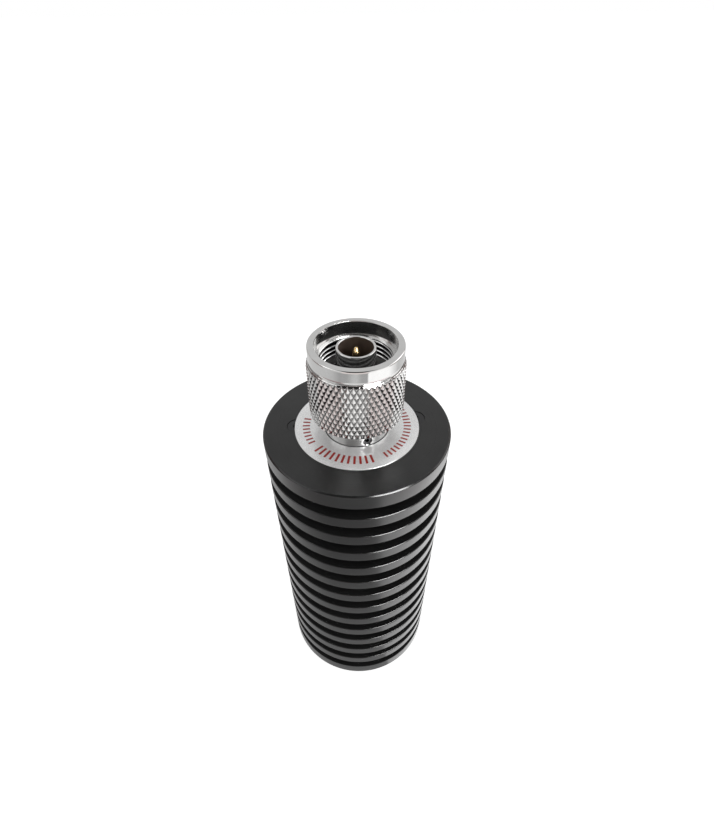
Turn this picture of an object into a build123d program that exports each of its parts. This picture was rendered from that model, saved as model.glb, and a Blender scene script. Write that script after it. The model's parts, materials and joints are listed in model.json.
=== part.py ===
from build123d import *
import math
import os

# Coaxial dummy load, millimetres. The origin is the centre of the base, +Z runs up to the connector.

# Driving sizes: heat sink
FIN_R = 21.0                # outer radius of every disc
FIN_COUNT = 12              # thin fins between the base disc and the face plate
FIN_T = 2.9
FIN_GAP = 3.3
BASE_T = 3.8                # thickness of the base disc
CORE_R = 16.0               # solid core between the fins
EDGE_BREAK = 0.25           # small bevel on the outer edges of the base disc and the face plate
BORE_R = 11.0               # bore that takes the carrier and the neck's flange

# Driving sizes: face plate, its screws and the ring
PLATE_T = 3.8
FACE_SCREW_PLACE_R = 13.5
FACE_SCREW_ANGLES = (10.0, 180.0)
FACE_SCREW_HEAD_R = 2.15
FACE_SCREW_R = 1.25
FACE_SCREW_LENGTH = 9.0
FACE_SCREW_SINK = 0.2       # how far the heads lie under the face
RING_R = 13.9
RING_T = 0.2

# Driving sizes: neck
NECK_WALL = 1.6             # wall of the collar, which the set screw passes through
NECK_RISE = 4.1             # height of the neck above the face
NECK_FLANGE_T = 2.5
WAY_R = 4.8                 # way for the conductor through the neck's foot and the carrier's nose
SET_SCREW_R = 1.0
SET_SCREW_RISE = 1.4        # height of the set screw's axis above the face
SET_SCREW_ANGLE = -71.4     # round Z from +X
SET_SCREW_RECESS = 0.35

# Driving sizes: plug, heights counted from the plug's shoulder on the neck
SPIGOT_R = 5.55
SPIGOT_LENGTH = 9.0
BARREL_LENGTH = 7.1         # from the neck to the gasket's seat
FERRULE_R = 4.05
FERRULE_BORE_R = 3.5
FERRULE_REACH = 9.5         # from the gasket's seat to the ferrule's lip
FERRULE_BOSS_R = 4.3        # thicker foot of the ferrule inside the gasket
LIP_BEVEL = 0.2
GASKET_T = 1.6
BEAD_SEAT_R = 4.3           # wider rear bore that holds the beads
BEAD_STOP_DEPTH = 11.6      # from the ferrule's lip to the step that stops the front bead

# Driving sizes: coupling nut
NUT_WALL = 2.21             # from the thread's groove to the knurl's peaks
NUT_FOOT_GAP = 0.5          # air between the neck and the nut's foot
NUT_LENGTH = 16.9
BAND_LENGTH = 2.8
BAND_DROP = 0.43            # how far the band lies under the knurl's peaks
BAND_GROOVE = 0.6           # narrow groove between the band and the knurl
GROOVE_DROP = 0.3           # groove's depth under the knurl's valleys
RIM_ROUND = 0.35
THREAD_MAJOR_R = 7.94       # 5/8-24 coupling thread
THREAD_DEPTH = 0.49
THREAD_LENGTH = 4.3
THREAD_LEAD = 0.12          # small bevel where the thread starts
MOUTH_STEP = 0.36           # how much wider the mouth is than the thread
MOUTH_DEPTH = 2.7
RELIEF_LENGTH = 4.5         # plain wall behind the thread
NUT_BORE_CLEARANCE = 0.12
KNURL_DEPTH = 0.45
KNURL_COUNT = 54            # diamonds round the nut
KNURL_ANGLE = 26.5          # slope of the knurl's grooves from the axis, degrees
KNURL_END = 0.35            # bevelled foot of the nut under the knurl

# Driving sizes: snap ring
SNAP_WIRE = 0.8
SNAP_GROOVE_DEPTH = 0.9     # groove in the plug's barrel
SNAP_HEIGHT = 3.0           # foot of the groove above the neck
SNAP_GAP_ANGLE = 24.0

# Driving sizes: centre contact and beads
PIN_R = 0.8
PIN_REACH = 5.3             # pin length ahead of the thicker conductor
PIN_RECESS = 0.2            # pin tip under the ferrule's lip
PIN_POINT = 1.0
CONDUCTOR_R = 1.52
BEAD_NECK_R = 1.15          # conductor's waist inside each bead
FRONT_BEAD_T = 2.6
REAR_BEAD_T = 2.0
RETAINER_T = 2.0
RETAINER_BORE_R = 2.5
RETAINER_SLOT = 1.0
CONTACT_SLOT_DEPTH = 2.5

# Driving sizes: carrier
CARRIER_NOSE = 4.0          # full round end under the neck's flange
CARRIER_POCKET = 15.0
CARRIER_TAIL = 21.0
CARRIER_SCREW_COUNT = 3
CARRIER_SCREW_PLACE_R = 9.2
CARRIER_SCREW_R = 0.8
CARRIER_SCREW_HEAD_R = 1.45
CARRIER_SCREW_LENGTH = 5.5
CONTACT_OVERRUN = 0.8       # contact's rear end inside the pocket

# Driving sizes: resistor
TAB_T = 0.2
TAB_W = 1.6
TAB_ON_CHIP = 1.4
CHIP_SIDE = 6.0
CHIP_T = 1.0
COVER_SIDE = 4.4
COVER_T = 1.3
RESISTOR_FLANGE_EAR = 2.3   # from a screw's axis to the flange's end
RESISTOR_FLANGE_W = 6.4
RESISTOR_FLANGE_T = 1.6
RESISTOR_GAP = 1.5          # from the carrier's nose to the flange
FLANGE_SCREW_SPAN = 13.4
FLANGE_SCREW_R = 1.25
FLANGE_SCREW_HEAD_R = 2.2
FLANGE_SCREW_HEAD_T = 1.5
FLANGE_SCREW_DEPTH = 4.0

# Named clearances
SLIP = 0.05                 # radial room of pieces that push into each other
SCREW_ROOM = 0.15           # radial room of a screw in a plain hole
RING_ROOM = 0.25            # radial room of the face ring round the neck
THREAD_ROOM = 0.25          # radial room of the plug's barrel and gasket inside the thread
SNAP_ROOM = 0.1             # room of the snap ring in the nut's groove
HOLE_END = 0.5              # empty depth past the end of a screw
BORE_END = 0.2              # empty depth under the carrier
DRIVE_WIDTH = 1.25          # hexagon sockets across their flats, as a share of the screw's radius
DRIVE_DEPTH = 0.6           # depth of the hexagon sockets, as a share of the screw's radius
HEAD_RIM = 0.2              # straight rim of a countersunk head

# Heights worked out from the sizes above
CORE_TOP = BASE_T + FIN_COUNT * (FIN_GAP + FIN_T) + FIN_GAP
FACE = CORE_TOP + PLATE_T
FLANGE_FOOT = CORE_TOP - NECK_FLANGE_T
NECK_TOP = FACE + NECK_RISE
SPIGOT_FOOT = NECK_TOP - SPIGOT_LENGTH
GASKET_SEAT = NECK_TOP + BARREL_LENGTH
LIP = GASKET_SEAT + FERRULE_REACH
BEAD_STOP = LIP - BEAD_STOP_DEPTH
NUT_FOOT = NECK_TOP + NUT_FOOT_GAP
NUT_TOP = NUT_FOOT + NUT_LENGTH
THREAD_TOP = NUT_TOP - MOUTH_DEPTH
THREAD_FOOT = THREAD_TOP - THREAD_LENGTH
BAND_FOOT = NUT_TOP - BAND_LENGTH
KNURL_TOP = BAND_FOOT - BAND_GROOVE
KNURL_FOOT = NUT_FOOT + KNURL_END
SNAP_FOOT = NECK_TOP + SNAP_HEIGHT
SNAP_TOP = SNAP_FOOT + SNAP_WIRE
PIN_TIP = LIP - PIN_RECESS
PIN_FOOT = PIN_TIP - PIN_REACH
FRONT_BEAD_FOOT = BEAD_STOP - FRONT_BEAD_T
RETAINER_TOP = SPIGOT_FOOT + RETAINER_T
REAR_BEAD_TOP = RETAINER_TOP + REAR_BEAD_T
POCKET_TOP = FLANGE_FOOT - CARRIER_NOSE
POCKET_FOOT = POCKET_TOP - CARRIER_POCKET
CARRIER_FOOT = POCKET_FOOT - CARRIER_TAIL
CONTACT_FOOT = POCKET_TOP - CONTACT_OVERRUN

# Radii worked out from the sizes above
NECK_BORE_R = SPIGOT_R + SLIP
NECK_R = NECK_BORE_R + NECK_WALL
CARRIER_R = BORE_R - SLIP
NUT_R = THREAD_MAJOR_R + NUT_WALL
THREAD_MINOR_R = THREAD_MAJOR_R - THREAD_DEPTH
MOUTH_R = THREAD_MAJOR_R + MOUTH_STEP
BARREL_R = THREAD_MINOR_R - THREAD_ROOM
SNAP_GROOVE_R = BARREL_R - SNAP_GROOVE_DEPTH
SNAP_R = SNAP_GROOVE_R + SLIP + 2 * SNAP_WIRE
NUT_BORE_R = BARREL_R + NUT_BORE_CLEARANCE
BEAD_R = BEAD_SEAT_R - SLIP
KNURL_VALLEY_R = NUT_R - KNURL_DEPTH
BAND_R = NUT_R - BAND_DROP
GROOVE_R = KNURL_VALLEY_R - GROOVE_DROP

# Resistor stack: heights along Y, measured from the connector's axis
CHIP_FACE_Y = -TAB_T / 2
CHIP_FOOT_Y = CHIP_FACE_Y - CHIP_T
CARRIER_FLOOR_Y = CHIP_FOOT_Y - RESISTOR_FLANGE_T
RESISTOR_Z = POCKET_TOP - RESISTOR_GAP - RESISTOR_FLANGE_W / 2


def turned(outline):
    """A solid turned about Z from its (radius, height) outline."""
    section = Face(Wire.make_polygon([(r, 0, z) for r, z in outline], close=True))
    return revolve(section, Axis.Z)


def disc(radius, foot, top):
    """A plain cylinder on the axis between two heights."""
    return Pos(0, 0, foot) * extrude(Circle(radius), top - foot)


def tube(outer, inner, foot, top):
    return disc(outer, foot, top) - disc(inner, foot - 1, top + 1)


def block(low, high):
    """A box between two corners."""
    size = [b - a for a, b in zip(low, high)]
    middle = [(a + b) / 2 for a, b in zip(low, high)]
    return Pos(*middle) * Box(*size)


def hexagon_socket(across, depth):
    """The hexagon recess of a screw whose top is at height 0."""
    return Pos(0, 0, -depth) * extrude(RegularPolygon(across / 2, 6, major_radius=False), depth + 1)


def countersunk_screw(head_r, thread_r, length):
    """A flat-headed socket screw with its face at height 0, pointing down."""
    cone = head_r - thread_r
    outline = [(0, 0), (head_r, 0), (head_r, -HEAD_RIM), (thread_r, -HEAD_RIM - cone)]
    outline += [(thread_r, -length + HEAD_RIM), (thread_r - HEAD_RIM, -length), (0, -length)]
    return turned(outline) - hexagon_socket(thread_r * DRIVE_WIDTH, thread_r * DRIVE_DEPTH)


def countersunk_hole(head_r, thread_r, length, sink, room):
    """The space for such a screw: its head lies sink under height 0, its shank is thread_r wide."""
    cone = head_r - thread_r
    outline = [(0, 1), (head_r + room, 1), (head_r + room, -HEAD_RIM - sink)]
    outline += [(thread_r + room, -HEAD_RIM - sink - cone), (thread_r + room, -length - sink)]
    outline += [(0, -length - sink)]
    return turned(outline)


def round_places(radius, angles, height):
    """Places on a circle about the axis, at the given angles."""
    places = []
    for angle in angles:
        turn = math.radians(angle)
        places.append(Pos(radius * math.cos(turn), radius * math.sin(turn), height))
    return places


# Places that several pieces share
FACE_SCREW_TOPS = round_places(FACE_SCREW_PLACE_R, FACE_SCREW_ANGLES, FACE)
CARRIER_SCREW_ANGLES = [90 + 360 / CARRIER_SCREW_COUNT * i for i in range(CARRIER_SCREW_COUNT)]
CARRIER_SCREW_TOPS = round_places(CARRIER_SCREW_PLACE_R, CARRIER_SCREW_ANGLES, CORE_TOP)
SET_SCREW_AXIS = Pos(0, 0, FACE + SET_SCREW_RISE) * Rot(0, 0, SET_SCREW_ANGLE) * Rot(0, 90, 0)
FLANGE_SCREW_X = (-FLANGE_SCREW_SPAN / 2, FLANGE_SCREW_SPAN / 2)


def heat_sink():
    """Core and discs turned from one bar, bored from the top, with the tapped holes of the face screws."""
    outline = [(0, 0), (FIN_R - EDGE_BREAK, 0), (FIN_R, EDGE_BREAK)]
    outline += [(FIN_R, BASE_T - EDGE_BREAK), (FIN_R - EDGE_BREAK, BASE_T), (CORE_R, BASE_T)]
    for i in range(FIN_COUNT):
        foot = BASE_T + FIN_GAP + i * (FIN_GAP + FIN_T)
        outline += [(CORE_R, foot), (FIN_R, foot), (FIN_R, foot + FIN_T), (CORE_R, foot + FIN_T)]
    outline += [(CORE_R, CORE_TOP), (0, CORE_TOP)]
    sink = turned(outline) - disc(BORE_R, CARRIER_FOOT - BORE_END, CORE_TOP + 1)
    for place in FACE_SCREW_TOPS:
        hole = disc(FACE_SCREW_R + SLIP, -FACE_SCREW_LENGTH - FACE_SCREW_SINK - HOLE_END, 0)
        sink -= place * hole
    return sink


def face_plate():
    """The top disc, with the neck's hole and two countersunk holes."""
    outline = [(0, CORE_TOP), (FIN_R - EDGE_BREAK, CORE_TOP), (FIN_R, CORE_TOP + EDGE_BREAK)]
    outline += [(FIN_R, FACE - EDGE_BREAK), (FIN_R - EDGE_BREAK, FACE), (0, FACE)]
    plate = turned(outline) - disc(NECK_R + SLIP, CORE_TOP - 1, FACE + 1)
    for place in FACE_SCREW_TOPS:
        length = PLATE_T + 1
        plate -= place * countersunk_hole(FACE_SCREW_HEAD_R, FACE_SCREW_R, length, FACE_SCREW_SINK, SLIP)
    return plate


def face_screws():
    sunk = Pos(0, 0, -FACE_SCREW_SINK) * countersunk_screw(FACE_SCREW_HEAD_R, FACE_SCREW_R, FACE_SCREW_LENGTH)
    return Compound([place * sunk for place in FACE_SCREW_TOPS])


def face_ring():
    """Thin foil ring on the face, round the neck."""
    return tube(RING_R, NECK_R + RING_ROOM, FACE, FACE + RING_T)


def connector_neck():
    """Collar and flange in one piece, bored for the plug's spigot."""
    outline = [(WAY_R, FLANGE_FOOT), (CARRIER_R, FLANGE_FOOT), (CARRIER_R, CORE_TOP), (NECK_R, CORE_TOP)]
    outline += [(NECK_R, NECK_TOP), (NECK_BORE_R, NECK_TOP)]
    outline += [(NECK_BORE_R, SPIGOT_FOOT), (WAY_R, SPIGOT_FOOT)]
    neck = turned(outline) - SET_SCREW_AXIS * disc(SET_SCREW_R, 0, NECK_R + 1)
    for place in CARRIER_SCREW_TOPS:
        length = NECK_FLANGE_T + 1
        neck -= place * countersunk_hole(CARRIER_SCREW_HEAD_R, CARRIER_SCREW_R, length, 0, SLIP)
    return neck


def neck_set_screw():
    """Socket set screw that locks the plug's spigot in the neck."""
    radius = SET_SCREW_R - SLIP
    inner = SPIGOT_R + SLIP
    outer = NECK_R - SET_SCREW_RECESS
    outline = [(0, inner), (radius * 0.6, inner), (radius, inner + radius * 0.4), (radius, outer), (0, outer)]
    screw = turned(outline) - Pos(0, 0, outer) * hexagon_socket(radius, radius * DRIVE_DEPTH)
    return SET_SCREW_AXIS * screw


def plug_body():
    """Spigot, barrel with the snap ring's groove, and the contact ferrule, turned in one piece."""
    boss_top = GASKET_SEAT + GASKET_T + 2 * SLIP
    outline = [(BEAD_SEAT_R, SPIGOT_FOOT), (SPIGOT_R, SPIGOT_FOOT), (SPIGOT_R, NECK_TOP)]
    outline += [(BARREL_R, NECK_TOP), (BARREL_R, SNAP_FOOT), (SNAP_GROOVE_R, SNAP_FOOT)]
    outline += [(SNAP_GROOVE_R, SNAP_TOP), (BARREL_R, SNAP_TOP)]
    outline += [(BARREL_R, GASKET_SEAT), (FERRULE_BOSS_R, GASKET_SEAT), (FERRULE_BOSS_R, boss_top)]
    outline += [(FERRULE_R, boss_top), (FERRULE_R, LIP - LIP_BEVEL / 2), (FERRULE_R - LIP_BEVEL / 2, LIP)]
    outline += [(FERRULE_BORE_R + LIP_BEVEL, LIP), (FERRULE_BORE_R, LIP - LIP_BEVEL * 2)]
    outline += [(FERRULE_BORE_R, BEAD_STOP), (BEAD_SEAT_R, BEAD_STOP)]
    return turned(outline)


def coupling_gasket():
    """Flat seal on the shoulder at the ferrule's foot."""
    return tube(BARREL_R, FERRULE_BOSS_R + SLIP, GASKET_SEAT, GASKET_SEAT + GASKET_T)


def nut_snap_ring():
    """Open square-wire ring, half in the plug's groove and half in the nut's."""
    foot = SNAP_FOOT + SNAP_ROOM / 2
    top = SNAP_TOP - SNAP_ROOM / 2
    ring = tube(SNAP_R, SNAP_GROOVE_R + SLIP, foot, top)
    half_gap = SNAP_GROOVE_R * math.tan(math.radians(SNAP_GAP_ANGLE / 2))
    return ring - block((-half_gap, 0, foot - 1), (half_gap, NUT_R, top + 1))


def knurled_drum(foot, top):
    """Closed drum with a diamond knurl: four sloping facets for each pyramid between crossing grooves."""
    columns = 2 * KNURL_COUNT
    half_width = math.pi * NUT_R / KNURL_COUNT
    rows = max(2, round((top - foot) * math.tan(math.radians(KNURL_ANGLE)) / half_width))
    rings = []
    for j in range(rows + 1):
        height = foot + (top - foot) * j / rows
        ring = []
        for i in range(columns):
            radius = NUT_R if (i + j) % 2 == 0 else KNURL_VALLEY_R
            turn = 2 * math.pi * i / columns
            ring.append(Vector(radius * math.cos(turn), radius * math.sin(turn), height))
        rings.append(ring)
    faces = [Face(Wire.make_polygon(rings[0], close=True)), Face(Wire.make_polygon(rings[-1], close=True))]
    for j in range(rows):
        for i in range(columns):
            near = (rings[j][i], rings[j + 1][i])
            far = (rings[j][(i + 1) % columns], rings[j + 1][(i + 1) % columns])
            if (i + j) % 2 == 0:
                corners = ((near[0], far[0], near[1]), (far[0], far[1], near[1]))
            else:
                corners = ((near[0], far[0], far[1]), (near[0], far[1], near[1]))
            faces += [Face(Wire.make_polygon(three, close=True)) for three in corners]
    return Solid(Shell(faces))


def coupling_nut():
    """Knurled drum with a smooth band over it, bored for the plug and opened to the coupling thread."""
    outline = [(0, NUT_FOOT), (KNURL_VALLEY_R - KNURL_END / 2, NUT_FOOT)]
    outline += [(KNURL_VALLEY_R, KNURL_FOOT), (0, KNURL_FOOT)]
    foot = turned(outline)
    groove = disc(GROOVE_R, KNURL_TOP, BAND_FOOT)
    rim = NUT_TOP - RIM_ROUND
    bend = math.sqrt(0.5) * RIM_ROUND
    outline = [(0, BAND_FOOT), (BAND_R, BAND_FOOT), (BAND_R, rim), (BAND_R - RIM_ROUND + bend, rim + bend)]
    outline += [(BAND_R - RIM_ROUND, NUT_TOP), (0, NUT_TOP)]
    band = turned(outline)
    snap_r = SNAP_R + SNAP_ROOM
    hollow = [(0, NUT_FOOT - 1), (NUT_BORE_R, NUT_FOOT - 1)]
    hollow += [(NUT_BORE_R, SNAP_FOOT), (snap_r, SNAP_FOOT), (snap_r, SNAP_TOP), (NUT_BORE_R, SNAP_TOP)]
    hollow += [(NUT_BORE_R, THREAD_FOOT - RELIEF_LENGTH), (THREAD_MAJOR_R, THREAD_FOOT - RELIEF_LENGTH)]
    hollow += [(THREAD_MAJOR_R, THREAD_FOOT), (THREAD_MINOR_R, THREAD_FOOT)]
    hollow += [(THREAD_MINOR_R, THREAD_TOP - THREAD_LEAD), (THREAD_MINOR_R + THREAD_LEAD, THREAD_TOP)]
    hollow += [(MOUTH_R, THREAD_TOP), (MOUTH_R, NUT_TOP - LIP_BEVEL), (MOUTH_R + LIP_BEVEL, NUT_TOP)]
    hollow += [(MOUTH_R + LIP_BEVEL, NUT_TOP + 1), (0, NUT_TOP + 1)]
    return foot + knurled_drum(KNURL_FOOT, KNURL_TOP) + groove + band - turned(hollow)


def centre_contact():
    """Pointed pin on a thicker conductor, with a waist in each bead and a slot for the resistor's tab."""
    waists = ((REAR_BEAD_TOP - REAR_BEAD_T, REAR_BEAD_TOP), (FRONT_BEAD_FOOT, BEAD_STOP))
    outline = [(0, CONTACT_FOOT), (CONDUCTOR_R, CONTACT_FOOT)]
    for foot, top in waists:
        outline += [(CONDUCTOR_R, foot), (BEAD_NECK_R, foot), (BEAD_NECK_R, top), (CONDUCTOR_R, top)]
    outline += [(CONDUCTOR_R, PIN_FOOT - PIN_R / 2), (PIN_R, PIN_FOOT)]
    outline += [(PIN_R, PIN_TIP - PIN_POINT), (PIN_R / 2, PIN_TIP - PIN_POINT / 8)]
    outline += [(PIN_R / 4, PIN_TIP), (0, PIN_TIP)]
    slot_half = TAB_T / 2 + SLIP
    slot_end = CONTACT_FOOT + CONTACT_SLOT_DEPTH
    slot = block((-CONDUCTOR_R - 1, -slot_half, CONTACT_FOOT - 1), (CONDUCTOR_R + 1, slot_half, slot_end))
    return turned(outline) - slot


def bead(foot, top):
    """Insulating bead between the conductor's waist and the plug's rear bore."""
    return tube(BEAD_R, BEAD_NECK_R + SLIP, foot, top)


def insulator_spacer():
    return tube(BEAD_R, FERRULE_BORE_R, REAR_BEAD_TOP, FRONT_BEAD_FOOT)


def insulator_retainer():
    """Ring that locks the beads, with a screwdriver slot across its rear face."""
    ring = tube(BEAD_R, RETAINER_BORE_R, SPIGOT_FOOT, RETAINER_TOP)
    half = RETAINER_SLOT / 2
    return ring - block((-BEAD_SEAT_R, -half, SPIGOT_FOOT - 1), (BEAD_SEAT_R, half, SPIGOT_FOOT + half))


def load_carrier():
    """Round slug milled flat for the resistor, with its full round nose under the neck's flange."""
    carrier = disc(CARRIER_R, CARRIER_FOOT, FLANGE_FOOT)
    carrier -= disc(WAY_R, POCKET_TOP - 1, FLANGE_FOOT + 1)
    carrier -= block((-BORE_R, CARRIER_FLOOR_Y, POCKET_FOOT), (BORE_R, BORE_R, POCKET_TOP))
    for place in CARRIER_SCREW_TOPS:
        carrier -= place * disc(CARRIER_SCREW_R + SLIP, -CARRIER_SCREW_LENGTH - HOLE_END, 0)
    for x in FLANGE_SCREW_X:
        carrier -= Pos(x, CARRIER_FLOOR_Y, RESISTOR_Z) * Rot(90, 0, 0) * disc(
            FLANGE_SCREW_R + SLIP, -1, FLANGE_SCREW_DEPTH + HOLE_END)
    return carrier


def carrier_screws():
    screw = countersunk_screw(CARRIER_SCREW_HEAD_R, CARRIER_SCREW_R, CARRIER_SCREW_LENGTH)
    return Compound([place * screw for place in CARRIER_SCREW_TOPS])


def resistor_flange():
    half_l = FLANGE_SCREW_SPAN / 2 + RESISTOR_FLANGE_EAR
    foot = RESISTOR_Z - RESISTOR_FLANGE_W / 2
    top = RESISTOR_Z + RESISTOR_FLANGE_W / 2
    flange = block((-half_l, CARRIER_FLOOR_Y, foot), (half_l, CHIP_FOOT_Y, top))
    for x in FLANGE_SCREW_X:
        hole_r = FLANGE_SCREW_R + SCREW_ROOM
        hole = Pos(x, CARRIER_FLOOR_Y, RESISTOR_Z) * Rot(90, 0, 0) * disc(hole_r, -RESISTOR_FLANGE_T - 1, 1)
        flange -= hole
    return flange


def flange_screws():
    """Two pan-headed screws that press the resistor's flange on the carrier."""
    shank = -FLANGE_SCREW_DEPTH - RESISTOR_FLANGE_T
    body = disc(FLANGE_SCREW_HEAD_R, 0, FLANGE_SCREW_HEAD_T) + disc(FLANGE_SCREW_R, shank, 0)
    screw = body - Pos(0, 0, FLANGE_SCREW_HEAD_T) * hexagon_socket(
        FLANGE_SCREW_R * DRIVE_WIDTH, FLANGE_SCREW_R * DRIVE_DEPTH)
    return Compound([Pos(x, CHIP_FOOT_Y, RESISTOR_Z) * Rot(-90, 0, 0) * screw for x in FLANGE_SCREW_X])


def resistor_chip():
    half = CHIP_SIDE / 2
    return block((-half, CHIP_FOOT_Y, RESISTOR_Z - half), (half, CHIP_FACE_Y, RESISTOR_Z + half))


def resistor_tab():
    """Flat strip from the chip's edge into the contact's slot."""
    half = TAB_W / 2
    foot = RESISTOR_Z + CHIP_SIDE / 2 - TAB_ON_CHIP
    top = CONTACT_FOOT + CONTACT_SLOT_DEPTH - SLIP
    return block((-half, -TAB_T / 2, foot), (half, TAB_T / 2, top))


def resistor_cover():
    """Ceramic lid on the chip, behind the tab."""
    half = COVER_SIDE / 2
    top = RESISTOR_Z + CHIP_SIDE / 2 - TAB_ON_CHIP - SLIP
    return block((-half, CHIP_FACE_Y, top - COVER_SIDE), (half, CHIP_FACE_Y + COVER_T, top))


PIECES = {
    "heat_sink": heat_sink,
    "face_plate": face_plate,
    "face_screws": face_screws,
    "face_ring": face_ring,
    "connector_neck": connector_neck,
    "neck_set_screw": neck_set_screw,
    "plug_body": plug_body,
    "coupling_gasket": coupling_gasket,
    "nut_snap_ring": nut_snap_ring,
    "coupling_nut": coupling_nut,
    "centre_contact": centre_contact,
    "front_insulator": lambda: bead(FRONT_BEAD_FOOT, BEAD_STOP),
    "insulator_spacer": insulator_spacer,
    "rear_insulator": lambda: bead(RETAINER_TOP, REAR_BEAD_TOP),
    "insulator_retainer": insulator_retainer,
    "load_carrier": load_carrier,
    "carrier_screws": carrier_screws,
    "resistor_flange": resistor_flange,
    "resistor_chip": resistor_chip,
    "resistor_tab": resistor_tab,
    "resistor_cover": resistor_cover,
    "flange_screws": flange_screws,
}

os.makedirs("parts", exist_ok=True)
for name, make in PIECES.items():
    export_step(make(), f"parts/{name}.step")
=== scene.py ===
import json
import math

import bpy
from mathutils import Matrix, Vector

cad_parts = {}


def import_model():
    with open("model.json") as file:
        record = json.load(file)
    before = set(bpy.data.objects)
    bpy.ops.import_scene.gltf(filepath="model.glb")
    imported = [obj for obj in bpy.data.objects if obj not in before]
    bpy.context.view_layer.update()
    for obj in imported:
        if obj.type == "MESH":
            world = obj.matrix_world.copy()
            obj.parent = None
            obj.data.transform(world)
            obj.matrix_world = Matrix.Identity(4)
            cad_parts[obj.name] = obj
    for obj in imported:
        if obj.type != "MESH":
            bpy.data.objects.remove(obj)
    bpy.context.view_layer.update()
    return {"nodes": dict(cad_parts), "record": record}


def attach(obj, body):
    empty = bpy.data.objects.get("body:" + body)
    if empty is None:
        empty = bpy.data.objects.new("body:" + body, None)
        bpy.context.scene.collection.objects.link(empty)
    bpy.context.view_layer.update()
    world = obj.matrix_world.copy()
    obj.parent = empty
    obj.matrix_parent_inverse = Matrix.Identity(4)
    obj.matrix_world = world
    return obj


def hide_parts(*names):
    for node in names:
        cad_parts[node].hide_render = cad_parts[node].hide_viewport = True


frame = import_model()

NODES = frame["nodes"]
MM = 0.001

# Sizes in millimetres for the finer meshes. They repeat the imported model's, apart from small edges and gaps, the
# depth of the knurl and that of the nut's mouth.
FIN_R = 21.0
FIN_COUNT = 12
FIN_T = 2.9
FIN_GAP = 3.3
FIN_CHAMFER = 0.16
PLATE_CHAMFER = 0.3
ROOT_ROUND = 0.25           # rounding at the feet of the fins
CHAMFER_ROUND = 0.03
BASE_T = 3.8
CORE_R = 16.0
BORE_R = 11.0
CORE_TOP = 81.5
FACE = 85.3
BORE_FLOOR = 38.8
FACE_SCREW_PLACE_R = 13.5
FACE_SCREW_ANGLES = (10.0, 180.0)
FACE_SCREW_HEAD_R = 2.15
FACE_SCREW_R = 1.25
FACE_SCREW_SINK = 0.08
FACE_SCREW_END = 75.6
FACE_SCREW_LENGTH = 9.0
HEAD_RIM = 0.2
FACE_SCREW_SOCKET_R = 0.9
FACE_SCREW_SOCKET_DEPTH = 0.75
SCREW_ROOM = 0.05           # play round a screw in its hole
RING_R = 13.9
RING_T = 0.2
RING_ROOM = 0.12
NECK_R = 7.2
NECK_ROOM = 0.05
NECK_TOP = 89.4
NECK_BORE_R = 5.6
NECK_FLANGE_FOOT = 79.0
CARRIER_R = 10.95
WAY_R = 4.8
SET_SCREW_R = 1.0
SET_SCREW_Z = 86.7
SET_SCREW_ANGLE = -71.4
CARRIER_SCREW_PLACE_R = 9.2
CARRIER_SCREW_HEAD_R = 1.45
CARRIER_SCREW_R = 0.8
CARRIER_SCREW_ANGLES = (90, 210, 330)
SPIGOT_R = 5.55
SPIGOT_FOOT = 80.4
BARREL_R = 7.2
SNAP_GROOVE_R = 6.3
SNAP_FOOT = 92.4
SNAP_TOP = 93.2
SNAP_SEAT_R = 8.05
GASKET_SEAT = 96.5
GASKET_TOP = 98.1
GASKET_ROOM = 0.05
BOSS_TOP = 98.2
FERRULE_BOSS_R = 4.3
FERRULE_R = 4.05
FERRULE_BORE_R = 3.5
BEAD_SEAT_R = 4.3
BEAD_STOP = 94.4
LIP = 106.0
CONDUCTOR_R = 1.52
BEAD_NECK_R = 1.15
PIN_R = 0.8
PIN_FOOT = 100.5
PIN_TIP = 105.8
CONTACT_FOOT = 74.2
WAISTS = ((82.4, 84.4), (91.8, 94.4))
NUT_R = 10.15
NUT_FOOT = 89.9
NUT_TOP = 106.8
NUT_BORE_R = 7.32
BAND_FOOT = 104.0
BAND_R = 9.72
GROOVE_R = 9.4
RIM_ROUND = 0.45
KNURL_FOOT = 90.25
KNURL_TOP = 103.4
KNURL_DEPTH = 0.3
KNURL_FLAT = 0.25           # share of each diamond that the crossing grooves leave flat
FOOT_R = 9.53
KNURL_COUNT = 54
KNURL_ROWS = 11
THREAD_MAJOR_R = 7.94
THREAD_MINOR_R = 7.45
THREAD_FOOT = 99.8
THREAD_TOP = 103.55         # 0.55 lower than in the solid: the mouth is as deep as it looks
THREAD_PITCH = 25.4 / 24
THREAD_START = 0.2          # height of a crest above a whole number of pitches, at angle 0
THREAD_LEAD = 0.1
THREAD_FLOOR = 0.09         # half the width of the groove's floor, in pitches
THREAD_FLANK = 0.27         # width of a flank, in pitches
THREAD_END = 0.05           # plain height at the thread's top, under which the groove fades in
THREAD_RUNOUT = 0.2
RELIEF_FOOT = 95.3
RELIEF_R = 8.0
MOUTH_R = 8.3

ROUND = 256                 # columns of the turned meshes
KNURL_STEPS = 5             # columns and rows of the nut's mesh to one half diamond
THREAD_STEPS = 10           # rows of the nut's mesh to one pitch
SHARP = 32.0                # degrees from which an edge is shaded sharp
NUT_SHARP = 26.0


# Meshes

def mesh_object(name, verts, faces, sharp=SHARP):
    """A new object from millimetre points, smooth apart from edges sharper than the given angle."""
    mesh = bpy.data.meshes.new(name)
    mesh.from_pydata([(x * MM, y * MM, z * MM) for x, y, z in verts], [], faces)
    mesh.validate()
    mesh.shade_smooth()
    mesh.set_sharp_from_angle(angle=math.radians(sharp))
    piece = bpy.data.objects.new(name, mesh)
    bpy.context.scene.collection.objects.link(piece)
    return piece


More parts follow.
